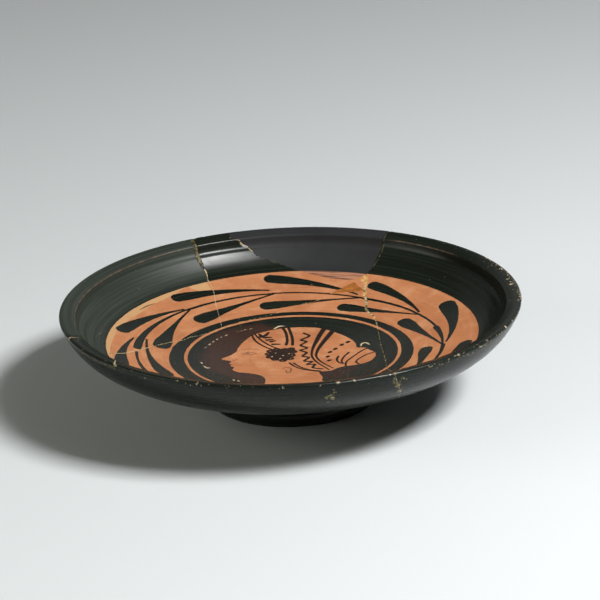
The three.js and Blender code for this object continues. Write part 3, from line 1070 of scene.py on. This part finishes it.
def startMaterial(name):
    # gives the material, its nodes, its shader and Object coordinates in millimetres
    material = bpy.data.materials.new(name)
    material.use_nodes = True
    tree = material.node_tree
    tree.nodes.clear()
    shader = addNode(tree, "ShaderNodeBsdfPrincipled", {}, {"IOR": 1.5})
    addNode(tree, "ShaderNodeOutputMaterial", {}, {"Surface": shader.outputs[0]})
    place = addNode(tree, "ShaderNodeTexCoord").outputs["Object"]
    scaled = addNode(tree, "ShaderNodeVectorMath", {"operation": "SCALE"}, {0: place, "Scale": 1 / mm})
    return material, tree, shader, scaled.outputs[0]


def mixColours(tree, share, below, above):
    return addNode(tree, "ShaderNodeMix", {"data_type": "RGBA"}, {0: share, 6: below, 7: above}).outputs[2]


def maths(tree, operation, a, b=0.0):
    return addNode(tree, "ShaderNodeMath", {"operation": operation}, {0: a, 1: b}).outputs[0]


def ramp(tree, value, low, high, lowOut=0.0, highOut=1.0):
    limits = {"Value": value, "From Min": low, "From Max": high, "To Min": lowOut, "To Max": highOut}
    return addNode(tree, "ShaderNodeMapRange", {"clamp": True}, limits).outputs[0]


def noiseAt(tree, here, size, detail=3.0):
    settings = {"Vector": here, "Scale": 1 / size, "Detail": detail}
    return addNode(tree, "ShaderNodeTexNoise", {}, settings).outputs[0]


def cloud(tree, here, size, low, high, strength=1.0, detail=3.0):
    # patches of that size in millimetres, as a share that fades in between two values of their noise
    return ramp(tree, noiseAt(tree, here, size, detail), low, high, 0, strength)


def swing(tree, value, middle, reach):
    # a noise that swings about zero
    return maths(tree, "MULTIPLY", maths(tree, "SUBTRACT", value, middle), reach)


def stored(tree, name, shift=None):
    # a field of the mesh, with its edge shifted
    value = addNode(tree, "ShaderNodeAttribute", {"attribute_name": name}).outputs["Fac"]
    return value if shift is None else maths(tree, "ADD", value, shift)


def wheelPlace(tree, here, spacing, length):
    # coordinates in which a texture becomes rings round the wheel's axis: spacing across, length along
    lengthRadius = 95  # where the length along the rings is true
    parts = addNode(tree, "ShaderNodeSeparateXYZ", {}, {0: here}).outputs
    flat = addNode(tree, "ShaderNodeCombineXYZ", {}, {0: parts[0], 1: parts[1]}).outputs[0]
    radius = addNode(tree, "ShaderNodeVectorMath", {"operation": "LENGTH"}, {0: flat}).outputs["Value"]
    around = addNode(tree, "ShaderNodeVectorMath", {"operation": "NORMALIZE"}, {0: flat}).outputs[0]
    stretch = {0: around, "Scale": lengthRadius / length}
    around = addNode(tree, "ShaderNodeVectorMath", {"operation": "SCALE"}, stretch).outputs[0]
    turned = addNode(tree, "ShaderNodeSeparateXYZ", {}, {0: around}).outputs
    across = maths(tree, "DIVIDE", maths(tree, "ADD", radius, parts[2]), spacing)
    place = addNode(tree, "ShaderNodeCombineXYZ", {}, {0: across, 1: turned[0], 2: turned[1]}).outputs[0]
    return place, radius, parts[2]


glossTerracotta = {
    # the dull sherd's slip tones are greyer than the glossy slip, and also painted lighter as a painted sheen
    # on the wall
    "gloss": "171b16", "glossStreak": "21271f", "dullGlossAndSheen": "2a302a", "dullStreakAndSheen": "3c433b",
    "misfire": "3a271f", "clay": "bd7c52", "clayDark": "a3623c", "clayPale": "cf9a72", "claySpot": "8a5235",
    "ink": "221812", "wash": "6b4430", "cream": "dccaa2", "hair": "2c1d17", "overpaint": "c49a6c",
    "crackDark": "15120e", "crackOlive": "5a5230", "crackPale": "b8a67e",
    "plaster": "b07638", "plasterPale": "dcb87e", "chip": "bfae92", "chipDark": "5a4c3e", "rubbed": "7d6352",
    "roughness": 0.24, "dullRoughness": 0.42, "clayRoughness": 0.6, "shine": 0.15,
    "brushSize": 1.5, "edgeShake": 0.28,  # how unsteady the brush's edge is
    "fineShake": 0.35, "crackShake": 2.2,  # as shares of the brush's
    "wheelMark": 1.3, "wheelLength": 60,  # throwing lines: how far apart, and how long until they change
    # from here out the dull sherd is rougher and its slip is painted lighter as a painted sheen
    "dullAndSheenFrom": (79, 84),  # how far out from the axis the dull sherd has lost its shine
    # patches: size in millimetres, the two values of the noise that they fade in between, strength, detail
    "firing": (18, 0.35, 0.65, 0.6), "paleClay": (7, 0.5, 0.75, 0.6, 5.0), "grit": (0.9, 0.62, 0.72, 0.5),
    "tanWear": (3, 0.55, 0.8, 0.5), "glueTonesAndGlints": (0.8, 0.5, 0.64), "chipGrain": (0.7, 0.4, 0.6),
    # noises: size in millimetres and detail, then where they swing about and how far
    "misfireSize": 8, "misfireReach": 6.0,
    "fillerGrain": (1.7, 4.0), "fillerMiddle": 0.5, "plasterReach": 2.0,
    "glueGrain": (2.8, 3.0), "glueMiddle": 0.53, "glueReach": 6.5,
    "speckGrain": (0.95, 2.0), "speckMiddle": 0.5, "chipReach": 2.2,
    # values that a tone fades in between, and its shares there
    "clayLines": (0.5, 0.8, 0, 0.4), "slipLines": (0.42, 0.75), "olive": (0.2, 0.34), "pale": (0.42, 0.6),
    "plasterTones": (0.35, 0.7), "specks": (0.74, 0.8), "wornReach": 0.2,
    # the rubbed ridge: how wide it is, how steeply it ends below, and how broken it is
    "ridge": (0.72, 0.36), "belowRidge": 0.6, "ridgeGrain": (3.5, 3.0), "ridgeBreaks": 0.6,
    "sheenLines": (0.3, 0.75, -0.02, 0.05), "sheenSize": 12, "sheenPatches": (0.3, 0.7, -0.01, 0.03),
    # relief in millimetres
    "wheelRelief": 0.014, "slipRelief": 0.012, "grainRelief": 0.008, "grain": (0.45, 2.0), "bump": 0.5,
}
# From and to at the edge of each stored field, in millimetres, and the shares that it covers there
paintEdges = {
    "gloss": (-0.06, 0.06), "overpaint": (-0.1, 0.1, 0, 0.92), "misfire": (0.5, 5.5), "dull": (-0.2, 0.2),
    "hair": (-0.08, 0.06, 0, 1.0), "wash": (-0.08, 0.06, 0, 0.8), "ink": (-0.08, 0.06, 0, 1.0),
    "cream": (-0.08, 0.06, 0, 0.9), "crack": (-0.12, 0.06), "plaster": (-0.1, 0.15),
    "glue": (0.2, 0.6, 0, 0.85), "chip": (0.0, 0.2),
}


def tone(name):
    return colour(glossTerracotta[name])


def covered(tree, name, shift=None):
    return ramp(tree, stored(tree, name, shift), *paintEdges[name])


def addPaint(tree, here, wheel, shake, dull):
    # the clay, the slip over it and all that is drawn: gives the colour and how much slip covers each place
    m = glossTerracotta
    clay = mixColours(tree, cloud(tree, here, *m["firing"]), tone("clay"), tone("clayDark"))
    clay = mixColours(tree, cloud(tree, here, *m["paleClay"]), clay, tone("clayPale"))
    clay = mixColours(tree, ramp(tree, wheel, *m["clayLines"]), clay, tone("clayPale"))
    clay = mixColours(tree, cloud(tree, here, *m["grit"]), clay, tone("claySpot"))
    tan = mixColours(tree, cloud(tree, here, *m["tanWear"]), tone("overpaint"), tone("clay"))
    clay = mixColours(tree, covered(tree, "overpaint", shake), clay, tan)

    streak = ramp(tree, wheel, *m["slipLines"])
    slip = mixColours(tree, streak, tone("gloss"), tone("glossStreak"))
    # the dull sherd's slip: partly its own greyer tone and partly a painted sheen
    dullSlipAndSheen = mixColours(tree, streak, tone("dullGlossAndSheen"), tone("dullStreakAndSheen"))
    slip = mixColours(tree, dull, slip, dullSlipAndSheen)
    uneven = maths(tree, "MULTIPLY", noiseAt(tree, here, m["misfireSize"]), m["misfireReach"])
    slip = mixColours(tree, covered(tree, "misfire", uneven), slip, tone("misfire"))
    glossShare = covered(tree, "gloss", shake)
    painted = mixColours(tree, glossShare, clay, slip)

    fine = maths(tree, "MULTIPLY", shake, m["fineShake"])
    for name in ("hair", "wash", "ink", "cream"):
        painted = mixColours(tree, covered(tree, name, fine), painted, tone(name))
    return painted, glossShare


def addRubbedRidge(tree, here, radius, level, painted):
    # the ridge under the rim, rubbed red in places
    m = glossTerracotta
    ridgeRadius, ridgeLevel = [float(value) for value in ridge]
    off = maths(tree, "ABSOLUTE", maths(tree, "SUBTRACT", radius, ridgeRadius))
    below = maths(tree, "ABSOLUTE", maths(tree, "SUBTRACT", level, ridgeLevel))
    broken = maths(tree, "MULTIPLY", noiseAt(tree, here, *m["ridgeGrain"]), m["ridgeBreaks"])
    away = maths(tree, "ADD", off, maths(tree, "MULTIPLY", below, m["belowRidge"]))
    share = ramp(tree, maths(tree, "ADD", away, broken), *m["ridge"])
    return mixColours(tree, maths(tree, "MULTIPLY", share, stored(tree, "rubbed")), painted, tone("rubbed"))


def addDamage(tree, here, shake, painted):
    # breaks with their glue and plaster, chips and specks: gives the colour and how bare each place is
    m = glossTerracotta
    patchy = noiseAt(tree, here, *m["fillerGrain"])
    paleness = stored(tree, "crackPale", maths(tree, "SUBTRACT", patchy, m["fillerMiddle"]))
    filler = mixColours(tree, ramp(tree, paleness, *m["olive"]), tone("crackDark"), tone("crackOlive"))
    filler = mixColours(tree, ramp(tree, paleness, *m["pale"]), filler, tone("crackPale"))
    crackShare = covered(tree, "crack", maths(tree, "MULTIPLY", shake, m["crackShake"]))
    worked = mixColours(tree, crackShare, painted, filler)
    plasterShare = covered(tree, "plaster", swing(tree, patchy, m["fillerMiddle"], m["plasterReach"]))
    plaster = mixColours(tree, ramp(tree, patchy, *m["plasterTones"]), tone("plaster"), tone("plasterPale"))
    worked = mixColours(tree, plasterShare, worked, plaster)
    glueNoise = noiseAt(tree, here, *m["glueGrain"])
    glueShare = covered(tree, "glue", swing(tree, glueNoise, m["glueMiddle"], m["glueReach"]))
    # glue patches: olive with pale flecks, partly the glue's own paler tone and partly painted glints
    glue = mixColours(tree, cloud(tree, here, *m["glueTonesAndGlints"]), tone("crackOlive"), tone("crackPale"))
    worked = mixColours(tree, glueShare, worked, glue)

    speck = noiseAt(tree, here, *m["speckGrain"])
    chipShare = covered(tree, "chip", swing(tree, speck, m["speckMiddle"], m["chipReach"]))
    worn = maths(tree, "MULTIPLY", stored(tree, "worn"), m["wornReach"])
    speckShare = ramp(tree, maths(tree, "ADD", speck, worn), *m["specks"])
    bareShare = maths(tree, "MAXIMUM", chipShare, speckShare)
    chip = mixColours(tree, cloud(tree, here, *m["chipGrain"]), tone("chipDark"), tone("chip"))
    worked = mixColours(tree, bareShare, worked, chip)
    return worked, maths(tree, "MAXIMUM", bareShare, crackShare)


def makeGlossTerracotta():
    # fired clay with a glossy slip: the slip is a near-black greenish satin, the bare clay is warm and dull
    m = glossTerracotta
    material, tree, shader, here = startMaterial("blackGlossTerracotta")
    place, radius, level = wheelPlace(tree, here, m["wheelMark"], m["wheelLength"])
    wheel = noiseAt(tree, place, 1.0, 4.0)
    shake = swing(tree, noiseAt(tree, here, m["brushSize"]), 0.5, m["edgeShake"])
    # where the sherd is dull, on the wall only: a rougher finish, and a slip painted lighter as a painted
    # sheen
    dullShare = maths(tree, "MULTIPLY", covered(tree, "dull"), ramp(tree, radius, *m["dullAndSheenFrom"]))
    painted, glossShare = addPaint(tree, here, wheel, shake, dullShare)
    painted = addRubbedRidge(tree, here, radius, level, painted)
    worked, bareShare = addDamage(tree, here, shake, painted)
    tree.links.new(worked, shader.inputs["Base Color"])

    sheen = ramp(tree, dullShare, 0, 1, m["roughness"], m["dullRoughness"])
    sheen = maths(tree, "ADD", sheen, ramp(tree, wheel, *m["sheenLines"]))
    patches = ramp(tree, noiseAt(tree, here, m["sheenSize"]), *m["sheenPatches"])
    sheen = maths(tree, "ADD", sheen, patches)
    rough = maths(tree, "MAXIMUM", maths(tree, "SUBTRACT", 1.0, glossShare), bareShare)
    shares = {0: rough, 2: sheen, 3: m["clayRoughness"]}
    finish = addNode(tree, "ShaderNodeMix", {"data_type": "FLOAT"}, shares)
    tree.links.new(finish.outputs[0], shader.inputs["Roughness"])
    shader.inputs["Specular IOR Level"].default_value = m["shine"]

    grain = maths(tree, "MULTIPLY", noiseAt(tree, here, *m["grain"]), m["grainRelief"])
    slipEdge = maths(tree, "MULTIPLY", glossShare, m["slipRelief"])
    relief = maths(tree, "ADD", maths(tree, "MULTIPLY", wheel, m["wheelRelief"]), slipEdge)
    relief = maths(tree, "ADD", relief, grain)
    bump = addNode(tree, "ShaderNodeBump", {}, {"Height": relief, "Strength": m["bump"], "Distance": mm})
    tree.links.new(bump.outputs[0], shader.inputs["Normal"])
    return material


greyPlaster = {
    "paint": "232425", "paintLight": "2f3031", "brushwork": (9, 4.0),
    "band": "b48062", "bandDark": "6b4639", "bandRadius": 80.7, "bandEdge": 0.3,
    "bandMark": 1.1, "bandLength": 16, "bandStreaks": (0.42, 0.62),  # the brown brush marks
    "roughness": 0.6, "shine": 0.12, "grain": 1.2, "bump": 0.25, "relief": 0.03,
}


def makeGreyPlaster():
    # painted plaster: flat and even, without the slip's shine, touched in with brown where the band passes
    g = greyPlaster
    material, tree, shader, here = startMaterial("paintedGreyPlaster")
    grey = mixColours(tree, noiseAt(tree, here, *g["brushwork"]), colour(g["paint"]), colour(g["paintLight"]))
    place, radius, _ = wheelPlace(tree, here, g["bandMark"], g["bandLength"])
    streaks = ramp(tree, noiseAt(tree, place, 1.0, 4.0), *g["bandStreaks"])
    band = mixColours(tree, streaks, colour(g["band"]), colour(g["bandDark"]))
    share = ramp(tree, radius, g["bandRadius"] - g["bandEdge"], g["bandRadius"] + g["bandEdge"], 1.0, 0.0)
    tree.links.new(mixColours(tree, share, grey, band), shader.inputs["Base Color"])
    shader.inputs["Roughness"].default_value = g["roughness"]
    shader.inputs["Specular IOR Level"].default_value = g["shine"]
    relief = {"Height": noiseAt(tree, here, g["grain"]), "Strength": g["bump"], "Distance": g["relief"] * mm}
    tree.links.new(addNode(tree, "ShaderNodeBump", {}, relief).outputs[0], shader.inputs["Normal"])
    return material


amberPlaster = {
    "tint": "b06c2c", "tintDark": "87501f", "streaks": (1.6, 5.0), "streakTones": (0.35, 0.65),
    "roughness": 0.45, "bump": 0.4, "relief": 0.08,
}


def makeAmberPlaster():
    # tinted plaster, brushed with a little varnish: warm, streaky, with a low shine
    a = amberPlaster
    material, tree, shader, here = startMaterial("tintedAmberPlaster")
    streaks = noiseAt(tree, here, *a["streaks"])
    tint = mixColours(tree, ramp(tree, streaks, *a["streakTones"]), colour(a["tintDark"]), colour(a["tint"]))
    tree.links.new(tint, shader.inputs["Base Color"])
    shader.inputs["Roughness"].default_value = a["roughness"]
    relief = {"Height": streaks, "Strength": a["bump"], "Distance": a["relief"] * mm}
    tree.links.new(addNode(tree, "ShaderNodeBump", {}, relief).outputs[0], shader.inputs["Normal"])
    return material


for piece, material, node, slot in (
    (plateBody, makeGlossTerracotta(), "plate", "black_gloss_terracotta"),
    (rimFilling, makeGreyPlaster(), "rim_filling", "grey_plaster"),
    (floorFilling, makeAmberPlaster(), "floor_filling", "amber_plaster"),
):
    piece.data.materials.clear()
    piece.data.materials.append(material)
    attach(piece, "root")
    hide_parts(node)
print("finishes set")

# Studio

studio = {
    "floorSize": 6000, "floor": "d6dadb", "floorRoughness": 0.8,
    "background": "c8ccc8", "backgroundStrength": 0.036,
    "key": {"towards": (0.565, -0.32, 0.76), "distance": 1300, "size": (390, 272), "roll": 0, "power": 22.6,
            "tint": "ffffff"},
    "fill": {"towards": (-0.9, -0.25, 0.36), "distance": 1300, "size": (900, 500), "roll": 0, "power": 5.5,
             "tint": "fffff2"},
    "backdrop": {"towards": (0.45, 0.85, 0.4), "distance": 1700, "size": (2000, 700), "roll": 0, "power": 1.4,
                 "tint": "ffffff"},
    "card": {"towards": (-0.55, 0.75, 0.4), "distance": 2400, "size": (2600, 1000), "roll": 0, "power": 1.7,
             "tint": "ffffff"},
    # a strip that only shows in the shine of the gloss
    "strip": {"towards": (0.415, -0.373, 0.83), "distance": 1180, "size": (390, 300), "roll": -19,
              "power": 20.0, "tint": "ffffff"},
}


def makeFloor():
    deselectAll()
    bpy.ops.mesh.primitive_plane_add(size=studio["floorSize"] * mm, location=(0, 0, 0))
    floor = bpy.context.object
    floor.name = "floor"
    material, _, shader, _ = startMaterial("paperSweep")
    shader.inputs["Base Color"].default_value = colour(studio["floor"])
    shader.inputs["Roughness"].default_value = studio["floorRoughness"]
    floor.data.materials.append(material)


def makeLight(name):
    light = studio[name]
    data = bpy.data.lights.new(name, "AREA")
    data.shape = "RECTANGLE"
    data.size, data.size_y = [side * mm for side in light["size"]]
    data.energy = light["power"]
    data.color = colour(light["tint"])[:3]
    lamp = bpy.data.objects.new(name, data)
    scene.collection.objects.link(lamp)
    towards = Vector(light["towards"]).normalized()
    lamp.location = towards * light["distance"] * mm
    turned = towards.to_track_quat("Z", "Y") @ Quaternion((0, 0, 1), math.radians(light["roll"]))
    lamp.rotation_euler = turned.to_euler()
    return lamp


makeFloor()
makeLight("key")
makeLight("fill")
makeLight("backdrop")
makeLight("card")
makeLight("strip").visible_diffuse = False
world = bpy.data.worlds.new("studio")
scene.world = world
world.use_nodes = True
background = world.node_tree.nodes["Background"]
background.inputs["Color"].default_value = colour(studio["background"])
background.inputs["Strength"].default_value = studio["backgroundStrength"]
scene.view_settings.view_transform = "Standard"
print("studio lit")
